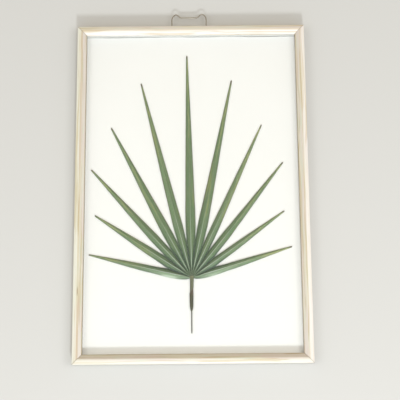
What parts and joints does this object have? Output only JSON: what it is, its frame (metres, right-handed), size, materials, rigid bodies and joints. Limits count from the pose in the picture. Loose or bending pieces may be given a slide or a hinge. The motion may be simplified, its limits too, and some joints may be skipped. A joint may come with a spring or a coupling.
{
  "type": "framed pressed palm leaf",
  "caption": "Pressed fan-palm leaf on white card, under glass in a slim pale wooden shadow-box frame with a wire hanger; lies on its back.",
  "frame": {"origin": "bottom centre of the bounding box of frame and hanger: the back faces of the rails lie in Z = 0", "axes": "+Z out of the picture's front, +Y towards the top rail and its hanger, +X to the viewer's right when looking at the front"},
  "size_m": [0.42, 0.6474, 0.0224],
  "materials": {
    "pale_wood": "lime-washed pine, satin",
    "white_fillet": "white paint, matt",
    "white_card": "matt card",
    "backing_board": "raw hardboard, matt",
    "clear_glass": "polished",
    "wire_steel": "drawn wire, satin",
    "leaf_green": "dry leaf, low sheen",
    "leaf_stalk": "dry stalk, satin",
    "fibrous_sheath": "dry fibres, matt",
    "dry_stem": "dry stem, matt"
  },
  "bodies": {
    "root": {"rail_top": "pale_wood", "rail_bottom": "pale_wood", "rail_left": "pale_wood", "rail_right": "pale_wood", "spacer_top": "white_fillet", "spacer_bottom": "white_fillet", "spacer_left": "white_fillet", "spacer_right": "white_fillet", "glass_pane": "clear_glass", "mount_card": "white_card", "backing_board": "backing_board", "retainer_1": "wire_steel", "retainer_2": "wire_steel", "retainer_3": "wire_steel", "retainer_4": "wire_steel", "retainer_5": "wire_steel", "retainer_6": "wire_steel", "retainer_7": "wire_steel", "retainer_8": "wire_steel", "leaflet_01": "leaf_green", "leaflet_02": "leaf_green", "leaflet_03": "leaf_green", "leaflet_04": "leaf_green", "leaflet_05": "leaf_green", "leaflet_06": "leaf_green", "leaflet_07": "leaf_green", "leaflet_08": "leaf_green", "leaflet_09": "leaf_green", "leaflet_10": "leaf_green", "leaflet_11": "leaf_green", "petiole": "leaf_stalk", "sheath": "fibrous_sheath", "stem_end": "dry_stem", "hanger_wire": "wire_steel"}
  },
  "joints": []
}
